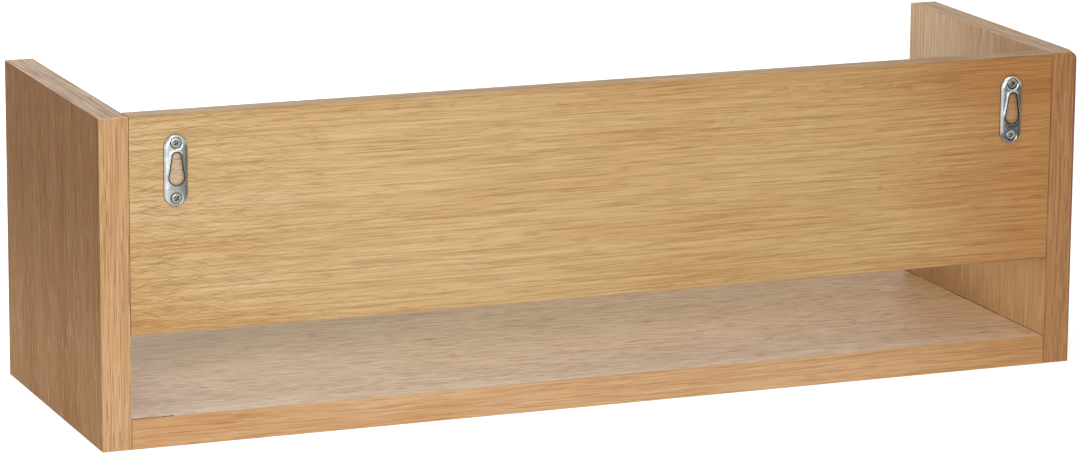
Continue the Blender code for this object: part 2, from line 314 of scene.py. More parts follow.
def oak(
    name,
    grain,
    tones,
    seed,
    pore_tone="#8C5A2E",
    fleck_tone="#E9CDA0",
    wander=4.8,
    lean=0,
    mix=(0.45, 0.55),
    figure_tone="#F1E2CF",
    ring_share=0.17,
    pore_share=0.33,
    fleck_share=0.2,
    coarse=(1, 1),
    roughness=(0.5, 0.6),
    specular=0.3,
    relief=0.35,
    drifts=(),
    lattice=None,
    painted_light=None,
):
    """Lacquered oak. Its tones run from dark to pale, mixed from shares of bands and fibres.

    The grain leans from the board's length by an angle in degrees, and wanders to the sides by
    up to a distance in millimetres. Where a face is seen at so low a slant that marks of real
    size would blur away, they are made shorter and wider by the two factors of coarse.
    """
    material, tree, shader = new_material(name)
    place = add_node(tree, "ShaderNodeTexCoord").outputs["Object"]
    laid = add_node(
        tree,
        "ShaderNodeMapping",
        {"Vector": place, "Scale": (1 / MM,) * 3, "Rotation": GRAIN[grain], "Location": seed},
    ).outputs[0]
    laid = add_node(
        tree, "ShaderNodeMapping", {"Vector": laid, "Rotation": (0, 0, math.radians(lean))}
    ).outputs[0]
    marks = grain_marks(tree, laid, wander, coarse)

    tone = add_node(
        tree, "ShaderNodeMath", {0: marks["bands"], 1: mix[0]}, operation="MULTIPLY"
    ).outputs[0]
    tone = add_node(
        tree,
        "ShaderNodeMath",
        {0: marks["fibres"], 1: mix[1], 2: tone},
        operation="MULTIPLY_ADD",
    ).outputs[0]
    ramp = add_node(tree, "ShaderNodeValToRGB", {"Fac": tone})
    stops = ramp.color_ramp.elements
    while len(stops) < len(tones):
        stops.new(0.5)
    for stop, tone_colour, at in zip(stops, tones, TONE_STOPS):
        stop.position = at
        stop.color = linear(tone_colour)
    low, high = FIGURE_RANGE
    patch = add_node(
        tree,
        "ShaderNodeMapRange",
        {"Value": marks["figure"], "From Min": low, "From Max": high},
    ).outputs[0]
    colour = add_node(
        tree,
        "ShaderNodeMix",
        {0: patch, 6: ramp.outputs["Color"], 7: figure_tone},
        data_type="RGBA",
        blend_type="MULTIPLY",
    ).outputs[2]

    # A mark shows where its noise goes from the first value to the second
    dashes = {}
    for mark, hidden, full, strength, dash_tone in (
        ("rings", 0.11, 0.02, ring_share, pore_tone),
        ("flecks", 0.6, 0.72, fleck_share, fleck_tone),
        ("pores", 0.59, 0.65, pore_share, pore_tone),
    ):
        dashes[mark] = add_node(
            tree,
            "ShaderNodeMapRange",
            {"Value": marks[mark], "From Min": hidden, "From Max": full, "To Max": strength},
        ).outputs[0]
        colour = add_node(
            tree,
            "ShaderNodeMix",
            {0: dashes[mark], 6: colour, 7: dash_tone},
            data_type="RGBA",
        ).outputs[2]

    if lattice:
        colour = add_lattice(tree, laid, colour, pore_tone, *lattice)
    for drift in drifts:
        colour = add_drift(tree, place, colour, *drift)
    # Painted light: a paler patch that lifts the plates' shadow on the wood
    if painted_light:
        colour = paint_light_patch(tree, place, colour, *painted_light)

    dull = add_node(
        tree,
        "ShaderNodeMapRange",
        {"Value": tone, "From Min": TONE_STOPS[-1], "From Max": TONE_STOPS[0],
         "To Min": roughness[0], "To Max": roughness[1]},
    )
    height = add_node(
        tree,
        "ShaderNodeMath",
        {0: dashes["pores"], 1: -PORE_SINK, 2: tone},
        operation="MULTIPLY_ADD",
    )
    bump = add_node(
        tree,
        "ShaderNodeBump",
        {"Height": height.outputs[0], "Strength": relief, "Distance": RELIEF_HEIGHT * MM},
    )
    tree.links.new(colour, shader.inputs["Base Color"])
    tree.links.new(dull.outputs[0], shader.inputs["Roughness"])
    tree.links.new(bump.outputs[0], shader.inputs["Normal"])
    shader.inputs["IOR"].default_value = 1.5
    shader.inputs["Specular IOR Level"].default_value = specular
    return material


# Painted light lifts the plates' shadow within this reach about a spot just under the back's
# surface
PAINTED_LIGHT_SPOT = plate_middle("right") - Vector((0, 2 * MM, 0))
PAINTED_LIGHT_REACH = (6.5 * MM, 5 * MM, 12.5 * MM)

# Sliced oak veneer under matt lacquer. The eye sees a golden tan with long level lines,
# dark pore dashes, and towards the right side a lattice of leaning lines. Behind the keyholes it
# is painted paler, painted light that lifts the shadow the plates cast there. Towards the left
# side it grows darker and browner, partly the veneer's own drift and partly painted shade where
# the light falls off.
oak_veneer_back = oak(
    "oak_veneer_back", "across the back", ("#C29D6A", "#CEAD7B", "#D5B584", "#DBBE8F"), (0, 0, 0),
    mix=(0.5, 0.5), figure_tone="#FAF4EB", ring_share=0.26, pore_share=0.24, fleck_share=0.12,
    lattice=(15, 135, 300),
    drifts=[
        ((-1, 0, 0), -0.2, 0.1, "#F8F2EA"),
        ((-1, 0, 0), 0.16, 0.3, "#ECD1B6"),
        ((0.35, 0, -1), -0.015, 0.03, "#F5E6D2"),
        ((-0.06, 0, 1), 0.17, 0.205, "#F4EBE1"),
    ],
    painted_light=(PAINTED_LIGHT_SPOT, PAINTED_LIGHT_REACH, "#EFE2C1"),
)
# The shelf's veneer lies flat, so the eye sees mostly the lacquer's pale sheen over fine lines.
# Its tones are painted pale as well, a painted sheen over the lacquer's own. Towards the open
# front it is painted greyer and darker, painted shade from the back greyed as painted sheen, and
# towards the left side browner, a painted reflection of that side.
oak_veneer_shelf = oak(
    "oak_veneer_shelf", "along the shelf", ("#D2B793", "#E0C6A6", "#E6CCAE", "#EBD2B5"),
    (410, 130, 60), wander=4, lean=2, mix=(0.1, 0.9), coarse=(0.6, 1.9), specular=0.34, relief=0.2,
    pore_tone="#A5703E", ring_share=0.03, pore_share=0.6, figure_tone="#FBF6EF",
    roughness=(0.46, 0.54),
    drifts=[
        ((0, -1, 0), -0.08, 0.06, "#D1CAB4"),
        ((0.3, -1, 0), 0.06, 0.15, "#E2DFDB"),
        ((-1, 0, 0), -0.1, 0.2, "#FAF2EC"),
        ((-0.25, 1, 0), 0.03, 0.1, "#F4F3F1"),
    ],
)
# The sides' veneer runs upright. The right side's is a brown with faint pale flecks, partly its
# own and partly painted shade, and darker towards the top, painted shade where less light comes up
# from the floor. It is also on the left side's outer face, so the outer faces match.
oak_veneer_right_and_shade = oak(
    "right_side_oak_veneer_and_shade", "up a side", ("#AA7F51", "#B5895B", "#BB9161", "#C39969"),
    (90, 700, 30), wander=6, fleck_tone="#DEBD96", fleck_share=0.65, pore_share=0.36,
    specular=0.06, drifts=[((0, 0, 1), 0.0, 0.16, "#D6C8B4")],
)
# The left side's inner face is pale and golden, with fine dark threads. Low at the front it is
# painted darker as painted shade, and towards the top rear greyer, a painted sheen.
oak_veneer_left = oak(
    "oak_veneer_left_side", "up a side", ("#CBAD87", "#D2B692", "#D7BD9C", "#DCC6A7"),
    (530, 240, 90), wander=4, mix=(0.1, 0.9), figure_tone="#FAF5EE", ring_share=0.06,
    pore_share=0.45,
    drifts=[
        ((0, 0, -1), -0.14, -0.07, "#F6E2C0"),
        ((0, -1, -2), -0.12, 0, "#D2C3B6"),
        ((0, 1, 1), 0.11, 0.25, "#DACBBD"),
    ],
)
# Solid oak edging, planed and sanded. Its fine streaks run the length of each strip. The right
# side's is golden and the left side's a darker brown.
EDGING_MIX = {"wander": 6, "mix": (0.25, 0.75), "ring_share": 0.05, "pore_share": 0.55,
              "figure_tone": "#FBF6EF"}
# Both strips darken towards the top, painted shade where less light comes up from the floor.
oak_edging_right = oak(
    "oak_edging_right_side", "up a side's edge", ("#C49A6D", "#CFA678", "#D3AB7E", "#D9B285"),
    (20, 310, 500), drifts=[((0, 0, 1), 0.02, 0.16, "#F4EEE8")], **EDGING_MIX,
)
oak_edging_left = oak(
    "oak_edging_left_side", "up a side's edge", ("#A37246", "#B17F51", "#B78656", "#BE8E60"),
    (620, 55, 240), drifts=[((0, 0, 1), 0.1, 0.2, "#F2EBE4")], **EDGING_MIX,
)
# The strips on top are painted greyer, a painted sheen of the light from above.
oak_edging_top = oak(
    "oak_edging_top", "along a side's top", ("#9F7D5A", "#B29371", "#BA9B7B", "#C3A685"),
    (260, 90, 800), **EDGING_MIX,
    drifts=[((1, 0, 0), 0.0, 0.3, "#EEEAE6"), ((0, 1, 0), 0.0, 0.1, "#F3F1EF")],
)
# On the right side's top, a few broad dark streaks run between paler ones.
oak_edging_top_right = oak(
    "oak_edging_top_right", "along a side's top", ("#785B40", "#A38363", "#B39675", "#C1A688"),
    (410, 30, 560), wander=6, mix=(0.6, 0.4), ring_share=0.1, pore_share=0.6,
    figure_tone="#F8F0E6",
)
# The back's edging is seen edge on, as a grey brown line. The shelf's is reddish gold.
oak_edging_level = oak(
    "oak_edging_level", "across the back", ("#9C7950", "#AE8E63", "#B6986E", "#C0A67E"),
    (800, 420, 110), drifts=[((-1, 0, 0), 0.05, 0.3, "#E6DDD6")], **EDGING_MIX,
)
oak_edging_shelf = oak(
    "oak_edging_shelf", "across the back", ("#C89D70", "#D2A97B", "#D7AF82", "#DDB78B"),
    (340, 720, 60), wander=4, mix=(0.2, 0.8), ring_share=0.05, pore_share=0.3,
    drifts=[((-1, 0, 0), 0.1, 0.32, "#EEDFC8")],
)
# The upright strips' edges were eased with sandpaper, which leaves the oak paler. The pale tone
# is also a painted highlight along each eased edge.
oak_sanded_and_highlight = oak(
    "sanded_and_highlit_oak_edge", "up a side's edge", ("#BF966B", "#CBA47A", "#D3AE86", "#DCBA94"),
    (700, 20, 35), wander=4, pore_tone="#A98258", fleck_share=0.1,
)
# The left side's outer rear edge was rounded over, and the rounding is painted darker, as
# painted shade where it turns from the light.
oak_rounded_painted_shade = oak(
    "rounded_oak_edge_painted_shade", "up a side's edge", ("#83594A", "#926550", "#9C6E58", "#AB7D65"),
    (210, 66, 480), wander=4, fleck_share=0.1, ring_share=0.08,
)
# A thin dark bead is drawn along each inner joint.
joint_dark_bead = oak(
    "joint_dark_bead", "along a side's top", ("#3E2A1A", "#4E3522", "#6A4A30", "#B08A5E"),
    (15, 25, 35), pore_tone="#2E1E12", roughness=(0.8, 0.9), specular=0.02,
)
# Turned beech, raw: short pale flecks in an even pinkish tan. It is inside the joints.
beech = oak(
    "beech_turned", "across the back", ("#CDA878", "#D6B386", "#DDBD93", "#E4C8A2"),
    (33, 44, 55), wander=2, roughness=(0.65, 0.75), pore_tone="#B58F62",
)


# Zinc plated steel

# Spangle size in millimetres, and the noise values between which roughness rises
SPANGLE = 0.5
SPANGLE_RANGE = (0.35, 0.65)

# The noise values at which the three tones of the clouds sit
CLOUD_STOPS = (0.36, 0.52, 0.66)


def zinc_plating(name, tones, roughness, cloud):
    """Bright zinc over steel: cool grey in soft clouds, whose size is in millimetres."""
    material, tree, shader = new_material(name)
    place = add_node(tree, "ShaderNodeTexCoord").outputs["Object"]
    clouds, spangle = (
        add_node(
            tree,
            "ShaderNodeTexNoise",
            {"Vector": place, "Scale": 1 / (size * MM), "Detail": detail},
        ).outputs["Fac"]
        for size, detail in ((cloud, 3), (SPANGLE, 2))
    )
    ramp = add_node(tree, "ShaderNodeValToRGB", {"Fac": clouds})
    stops = ramp.color_ramp.elements
    stops.new(0.5)
    for stop, tone, at in zip(stops, tones, CLOUD_STOPS):
        stop.position = at
        stop.color = linear(tone)
    low, high = SPANGLE_RANGE
    dull = add_node(
        tree,
        "ShaderNodeMapRange",
        {"Value": spangle, "From Min": low, "From Max": high,
         "To Min": roughness[0], "To Max": roughness[1]},
    )
    relief = add_node(
        tree, "ShaderNodeBump", {"Height": spangle, "Strength": 0.03, "Distance": 0.05 * MM}
    )
    tree.links.new(ramp.outputs["Color"], shader.inputs["Base Color"])
    tree.links.new(dull.outputs[0], shader.inputs["Roughness"])
    tree.links.new(relief.outputs[0], shader.inputs["Normal"])
    shader.inputs["Metallic"].default_value = 1
    return material


# Pressed sheet: bluish highlights on the flanks, soft grey on the flat.
zinc_sheet = zinc_plating("zinc_plated_sheet", ("#AFB5B6", "#BDC1C2", "#CACDCD"), (0.24, 0.3), 5)
# The sheet's cut edges are dark steel. The same dark tone is painted shade in bands round each
# keyhole, round the screw heads and along the plate's foot.
sheared_edge_and_shade = zinc_plating("sheared_steel_edge_and_painted_shade", ("#332E28", "#3F3932", "#4D463E"), (0.4, 0.55), 3)
# Cold headed screws: a shade darker than the sheet and a little yellower.
zinc_screw = zinc_plating("zinc_plated_screw", ("#A6AAA3", "#B8BBB1", "#CBCCBE"), (0.22, 0.36), 2)
# Inside the cross recess the zinc is painted darker, as painted shade.
zinc_recess_painted_shade = zinc_plating("zinc_plated_recess_painted_shade", ("#74766F", "#85877F", "#999B91"), (0.3, 0.45), 1)


# Edging, rounded where a hand meets it

EDGE_SIGNS = {1: "+", -1: "-"}

# Edges that aren't named keep a radius of this many millimetres
SHARP_EDGE = 0.15
EASING_STEPS = 5

# A face whose normal comes this near to an axis takes the veneer of that side
FACING = 0.9


def edging(node, low, high, rounding, face_material, edge_material, veneered=()):
    """A strip of edging between two corners, with the named edges eased to radii in millimetres.

    On its veneered faces, the board's veneer runs over the strip.
    """
    widest = max(rounding.values())
    bm = bmesh.new()
    bmesh.ops.create_cube(bm, size=1)
    weights = bm.edges.layers.float.new("bevel_weight_edge")
    for edge in bm.edges:
        ends = edge.verts[0].co + edge.verts[1].co
        edge_name = "".join(
            EDGE_SIGNS[round(v)] + axis for axis, v in zip("xyz", ends) if round(v)
        )
        edge[weights] = rounding.get(edge_name, SHARP_EDGE) / widest
    low, high = Vector(low), Vector(high)
    bmesh.ops.scale(bm, vec=high - low, verts=bm.verts)
    bmesh.ops.translate(bm, vec=(low + high) / 2, verts=bm.verts)
    materials = [face_material, edge_material] + [veneer for _, veneer in veneered]
    piece = add_piece(f"{node}_strip", bm, materials, "oak_edging", node)
    piece.data.shade_smooth()
    bevel = piece.modifiers.new("eased edges", "BEVEL")
    bevel.limit_method = "WEIGHT"
    bevel.width = widest * MM
    bevel.segments = EASING_STEPS
    bevel.material = 1
    bevel.harden_normals = True
    apply_modifiers(piece)
    for index, ((sign, axis), _) in enumerate(veneered, start=2):
        for face in piece.data.polygons:
            if face.normal["xyz".index(axis)] * int(sign + "1") > FACING:
                face.material_index = index


def upright_edging(side, spot, face_material, outer_veneer, inner_veneer):
    """The strip that covers the front or rear end of a side, from its base to its top.

    Its edges are eased to these radii, in millimetres.
    """
    low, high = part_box(f"{side}_side_board")
    face, start, end = {"front": ("-y", FRONT, low.y), "rear": ("+y", high.y, REAR)}[spot]
    outer, inner = ("+x", "-x") if side == "right" else ("-x", "+x")
    edging(
        f"{side}_side_{spot}_edging",
        (low.x, start, 0),
        (high.x, end, TOP),
        {
            outer + face: 0.5,
            inner + face: 0.2,
            outer + "+z": 0.4,
            inner + "+z": 0.5,
            face + "+z": 0.5,
            face + "-z": 0.5,
            outer + "-z": 0.5,
            inner + "-z": 0.3,
        },
        face_material,
        oak_sanded_and_highlight,
        [(outer, outer_veneer), (inner, inner_veneer)],
    )


def build_right_side():
    low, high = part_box("right_side_board")
    for spot in ("front", "rear"):
        upright_edging("right", spot, oak_edging_right, oak_veneer_right_and_shade, oak_veneer_right_and_shade)
    for spot, face, start, end, radius in (
        ("bottom", "-z", 0, low.z, 0.5),
        ("top", "+z", high.z, TOP, 0.4),
    ):
        edging(
            f"right_side_{spot}_edging",
            (low.x, low.y, start),
            (high.x, high.y, end),
            {"+x" + face: radius, "-x" + face: 0.5},
            oak_edging_top_right,
            oak_edging_top_right,
            [("+x", oak_veneer_right_and_shade), ("-x", oak_veneer_right_and_shade)],
        )


# The rounded left side

# Its rear end was rounded over at the outer upper corner, and down the edge below it. Its
# outlines go from the inner lower corner up, over the rounding and down the outer face. In
# millimetres: the corner's radius at the rear end, its radius further forward, and the distance
# over which the one passes into the other
CORNER_RADIUS, FAR_RADIUS, CORNER_FADE = 4.5, 0.4, 13

# In millimetres: how deep the rim round the rear end goes, and how far it draws in each part of
# the outline
RIM_DEPTH = 1.8
RIM = {"outer upper": 2.8, "outer lower": 1.0, "inner": 0.2, "top": 0.6, "bottom": 0.4}

CORNER_STEPS, FADE_STEPS, RIM_STEPS = 12, 10, 6

# In millimetres: points nearer than the first are one point, and the rim draws in where the
# outline's foot moves more than the second from ring to ring
SAME_POINT, DRAWN_IN = 0.002, 0.01

# The flat faces of the left side have normals at least this near to x
FLAT_FACE = 0.99


def left_outline(y, bottom, top, eased=0):
    """Points in x and z between two heights, drawn in by a share of the rim's roundings."""
    low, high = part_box("left_side_board")
    fade = smooth((REAR - y) / (CORNER_FADE * MM))
    radius = (CORNER_RADIUS + (FAR_RADIUS - CORNER_RADIUS) * fade) * MM
    inset = {spot: eased * width * MM for spot, width in RIM.items()}
    inner, outer = high.x - inset["inner"], low.x + inset["outer upper"]
    middle_x, middle_z = low.x + radius, TOP - radius
    reach, rise = middle_x - outer, TOP - inset["top"] - middle_z
    upper = min(top, middle_z + rise)
    first, last = (
        math.acos(max(0, min(1, (z - middle_z) / rise))) for z in (upper, bottom)
    )
    arc_points = [
        (middle_x - reach * math.sin(a), min(upper, middle_z + rise * math.cos(a)))
        for a in (first + (last - first) * i / CORNER_STEPS for i in range(CORNER_STEPS + 1))
    ]
    foot = bottom + inset["bottom"]
    outer_foot = low.x + inset["outer lower"] if bottom < middle_z else arc_points[-1][0]
    return [(inner, foot), (inner, upper), *arc_points, (outer_foot, foot)]


def left_piece(node, slot, rings, face_material, edge_material):
    """Skins outlines that follow one another in y.

    The arc's faces get the edge material, and so does the outer foot's where the rim draws in.
    """
    bm = bmesh.new()
    loops = [[bm.verts.new((x, y, z)) for x, z in outline] for y, outline in rings]
    arc_start, outer_foot = 2, len(loops[0]) - 1
    for one, two in zip(loops, loops[1:]):
        rim = abs(one[-1].co.x - two[-1].co.x) > DRAWN_IN * MM
        for i in range(len(one)):
            skin = bm.faces.new((one[i - 1], one[i], two[i], two[i - 1]))
            skin.material_index = int(arc_start < i < outer_foot or rim and i == outer_foot)
    bm.faces.new(loops[0])
    bm.faces.new(loops[-1])
    bmesh.ops.remove_doubles(bm, verts=bm.verts, dist=SAME_POINT * MM)
    materials = [face_material, edge_material, oak_veneer_left, oak_veneer_right_and_shade]
    piece = add_piece(f"{node}_shaped", bm, materials, slot, node)
    for face in piece.data.polygons:
        if abs(face.normal.x) > FLAT_FACE:
            face.material_index = 2 if face.normal.x > 0 else 3
    piece.data.shade_smooth()
    piece.data.set_sharp_from_angle(angle=math.radians(30))


def build_left_side():
    low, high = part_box("left_side_board")
    places = [low.y] + [
        high.y - CORNER_FADE * MM * (1 - i / FADE_STEPS) for i in range(FADE_STEPS + 1)
    ]
    body = [(y, left_outline(y, low.z, high.z)) for y in places]
    left_piece("left_side_board", "oak_veneer", body, oak_veneer_left, oak_rounded_painted_shade)
    top = [(y, left_outline(y, high.z, TOP)) for y in places]
    left_piece("left_side_top_edging", "oak_edging", top, oak_edging_top, oak_rounded_painted_shade)
    edging(
        "left_side_bottom_edging",
        (low.x, low.y, 0),
        (high.x, high.y, low.z),
        {"-x-z": 0.5, "+x-z": 0.3},
        oak_edging_top,
        oak_edging_top,
        [("-x", oak_veneer_right_and_shade), ("+x", oak_veneer_left)],
    )
    upright_edging("left", "front", oak_edging_left, oak_veneer_right_and_shade, oak_veneer_left)
    rings = [(high.y, left_outline(high.y, 0, TOP))]
    for step in range(RIM_STEPS + 1):
        angle = math.pi / 2 * step / RIM_STEPS
        y = REAR - RIM_DEPTH * MM * (1 - math.sin(angle))
        rings.append((y, left_outline(y, 0, TOP, 1 - math.cos(angle))))
    left_piece("left_side_rear_edging", "oak_edging", rings, oak_edging_left, oak_rounded_painted_shade)


# All the edging

def build_edging():
    build_right_side()
    build_left_side()
    low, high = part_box("back_board")
    for spot, face, start, end in (
        ("bottom", "-z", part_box("back_bottom_edging")[0].z, low.z),
        ("top", "+z", high.z, TOP),
    ):
        edging(
            f"back_{spot}_edging",
            (low.x, low.y, start),
            (high.x, high.y, end),
            {"+y" + face: 0.5, "-y" + face: 0.5},
            oak_edging_level,
            oak_edging_level,
            [("+y", oak_veneer_back), ("-y", oak_veneer_back)],
        )
    low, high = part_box("shelf_board")
    for spot, face, start, end in (
        ("front", "-y", FRONT, low.y),
        ("rear", "+y", high.y, REAR),
    ):
        edging(
            f"shelf_{spot}_edging",
            (low.x, start, low.z),
            (high.x, end, high.z),
            {face + "+z": 0.6, face + "-z": 0.5},
            oak_edging_shelf,
            oak_edging_shelf,
        )


# Joint lines

# Dark beads in millimetres: the widths of a long one and of the short one on the shelf's
# rear edging, the short one's length, and how far the long ones end short of the edges
BEAD, EDGING_BEAD, EDGING_BEAD_LENGTH, BEAD_END = 0.35, 0.3, 27, 0.6


def joint_line(name, start, end, into, width):
    """A dark bead in an inner corner, drawn as a thin three-sided strip."""
    bm = bmesh.new()
    ends = []
    for place in (start, end):
        corner = Vector(place)
        ends.append([bm.verts.new(corner + Vector(way) * width * MM) for way in ((0, 0, 0), *into)])
    (a, b, c), (d, e, f) = ends
    for corners in ((a, b, e, d), (b, c, f, e), (c, a, d, f), (a, c, b), (d, e, f)):
        bm.faces.new(corners)
    add_piece(name, bm, [joint_dark_bead], "oak_edging")


def build_joint_lines():
    shelf_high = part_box("shelf_board")[1]
    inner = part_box("left_side_board")[1].x
    for side, sign in SIDES.items():
        wall = sign * -inner
        joint_line(
            f"shelf_joint_line_{side}",
            (wall, FRONT + BEAD_END * MM, shelf_high.z),
            (wall, REAR - BEAD_END * MM, shelf_high.z),
            ((-sign, 0, 0), (0, 0, 1)),
            BEAD,
        )
    joint_line(
        "shelf_edging_joint_line",
        (-inner, shelf_high.y, shelf_high.z),
        (-inner - EDGING_BEAD_LENGTH * MM, shelf_high.y, shelf_high.z),
        ((0, 1, 0), (0, 0, 1)),
        EDGING_BEAD,
    )


# Hanger plates

# In a plate's own frame x runs across, y up the wall and z out of the wood, all in millimetres
# from the middle of the plate on the surface of the back board.
PLATE_LENGTH = 43
PLATE_WIDTH = 15
REACH = (PLATE_LENGTH - PLATE_WIDTH) / 2  # from the plate's middle to the centres of its ends
PLATE_FOOT = 0.3  # from the wood up to the rim of the sheet's outer face
PLATE_RISE = 2.2  # from the rim up to the top
FLANK, FLANK_STEPS = 2.8, 9  # the width of the rounded flank
CROWN, CROWN_REACH = 0.38, 5  # how far the top falls, and how far out from its middle line
SHEET = 0.8  # the sheet's thickness
SLOT_RADIUS, SLOT_FOOT_RADIUS, ENTRY_RADIUS = 2.5, 4.1, 4.6  # half the keyhole's widths
KEYHOLE_TOP, KEYHOLE_BOTTOM = 11.0, 8.4  # above and below the plate's middle
LIP_WIDTH, LIP_CREST, LIP_RISE = 1.35, 0.5, 0.5  # round the keyhole, with its crest's width
SCREW_SPACING = 33
SEAT_HOLE, SEAT_FLOOR, SEAT_BRIM = 2.3, 0.4, 0.45  # the hole's radius, its height, a soft brim

# The bands of painted shade: outwards from the keyhole with a slight drop, round a seat and along
# the rim
KEYHOLE_BAND, KEYHOLE_BAND_DROP = 0.7, 0.12
SEAT_BAND, RIM_BAND = 3.5, 0.05

# Where the rings of points lie: outwards from the keyhole's edge, and from a seat's middle
LIP_OFFSETS = (0, 0.2, 0.4, 0.6, 0.78, 0.96, 1.15, LIP_WIDTH)
SEAT_RADII = (SEAT_HOLE, 2.7, 3.1, 3.4, 3.7, 4.0, 4.3, 4.6, 4.9)

# Steps round the plate's ends, the slot's top, the entry and a seat, and the longest steps
# along the straight stretches of the plate's outline and the keyhole's
END_STEPS, SLOT_STEPS, ENTRY_STEPS, SEAT_STEPS = 30, 20, 34, 45
OUTLINE_STEP, KEYHOLE_STEP = 1.2, 0.8

# How near the edges of the sheet its other points may lie, and how near two points may
EDGE_GAP, POINT_GAP = 0.1, 0.01


def arc(centre, radius, start, end, steps):
    """Points round an arc between two angles in degrees."""
    angles = [math.radians(start + (end - start) * i / steps) for i in range(steps + 1)]
    return [(centre[0] + radius * math.cos(a), centre[1] + radius * math.sin(a)) for a in angles]


def subdivided(points, longest):
    """A closed outline whose long sides are cut into steps."""
    result = []
    for (x0, y0), (x1, y1) in zip(points, points[1:] + points[:1]):
        steps = max(1, math.ceil(math.hypot(x1 - x0, y1 - y0) / longest))
        result += [(x0 + (x1 - x0) * i / steps, y0 + (y1 - y0) * i / steps) for i in range(steps)]
    return result


def plate_outline(inset):
    """The plate's rounded outline, drawn in by an inset."""
    radius = PLATE_WIDTH / 2 - inset
    upper = arc((0, REACH), radius, 0, 180, END_STEPS)
    lower = arc((0, -REACH), radius, 180, 360, END_STEPS)
    return subdivided(upper + lower, OUTLINE_STEP)


def keyhole_outline(offset, longest=KEYHOLE_STEP):
    """The slot's rounded top and the entry's arc, moved outwards by an offset."""
    slot, foot, entry = (r + offset for r in (SLOT_RADIUS, SLOT_FOOT_RADIUS, ENTRY_RADIUS))
    shoulder = math.degrees(math.acos(foot / entry))
    top = arc((0, KEYHOLE_TOP - SLOT_RADIUS), slot, 0, 180, SLOT_STEPS)
    entry_middle = (0, ENTRY_RADIUS - KEYHOLE_BOTTOM)
    bottom = arc(entry_middle, entry, 180 - shoulder, 360 + shoulder, ENTRY_STEPS)
    return subdivided(top + bottom, longest)


# The keyhole's edge in longer steps, to measure distances from
KEYHOLE = keyhole_outline(0, longest=5)


def keyhole_distance(x, y):
    """How far a point is outside the keyhole, or below zero inside it."""
    nearest, inside = math.inf, False
    for (x0, y0), (x1, y1) in zip(KEYHOLE, KEYHOLE[1:] + KEYHOLE[:1]):
        dx, dy = x1 - x0, y1 - y0
        share = max(0, min(1, ((x - x0) * dx + (y - y0) * dy) / (dx * dx + dy * dy or 1)))
        nearest = min(nearest, math.hypot(x - x0 - share * dx, y - y0 - share * dy))
        if (y0 > y) != (y1 > y) and x < x0 + (y - y0) * dx / dy:
            inside = not inside
    return -nearest if inside else nearest


def seat_distance(x, y):
    """How far a point is from the middle of the nearer screw seat."""
    return math.hypot(x, abs(y) - SCREW_SPACING / 2)


def edge_distance(x, y):
    """How far a point is inside the plate's outline."""
    return PLATE_WIDTH / 2 - math.hypot(x, y - max(-REACH, min(REACH, y)))


def plate_height(x, y):
    """The pressed dome with its lip, and its seats sunk in with a soft brim."""
    flank = max(0, 1 - edge_distance(x, y) / FLANK)
    height = PLATE_RISE * math.sqrt(max(0, 1 - flank * flank))
    height -= CROWN * min(1, x * x / CROWN_REACH**2)
    outside = keyhole_distance(x, y)
    height += LIP_RISE * (1 - smooth((outside - LIP_CREST) / (LIP_WIDTH - LIP_CREST)))
    height -= KEYHOLE_BAND_DROP * (1 - min(1, outside / KEYHOLE_BAND)) ** 2
    cone = SEAT_FLOOR + seat_distance(x, y) - SEAT_HOLE
    overlap = max(0, SEAT_BRIM - abs(height - cone))
    return min(height, cone) - overlap * overlap / (4 * SEAT_BRIM)


def plate_points():
    """Points in rings along the flank, round the keyhole and round each seat.

    The first ring of each set is an edge of the sheet. The others' points are left out where
    they come too near an edge.
    """
    flank = [
        plate_outline(FLANK * (1 - math.cos(math.pi / 2 * i / FLANK_STEPS)))
        for i in range(FLANK_STEPS + 1)
    ]
    lip = [keyhole_outline(offset) for offset in LIP_OFFSETS]
    step = 360 / SEAT_STEPS
    seats = [
        [
            arc((0, end * SCREW_SPACING / 2), radius, 0, 360 - step, SEAT_STEPS - 1)
            for radius in SEAT_RADII
        ]
        for end in (-1, 1)
    ]
    points, edges = [], []
    for edge_ring, *inner_rings in (flank, lip, *seats):
        start, count = len(points), len(edge_ring)
        edges += [(start + i, start + (i + 1) % count) for i in range(count)]
        points += edge_ring
        points += [
            (x, y)
            for ring in inner_rings
            for x, y in ring
            if keyhole_distance(x, y) > EDGE_GAP
            and seat_distance(x, y) > SEAT_HOLE + EDGE_GAP
            and edge_distance(x, y) > POINT_GAP
        ]
    return points, edges


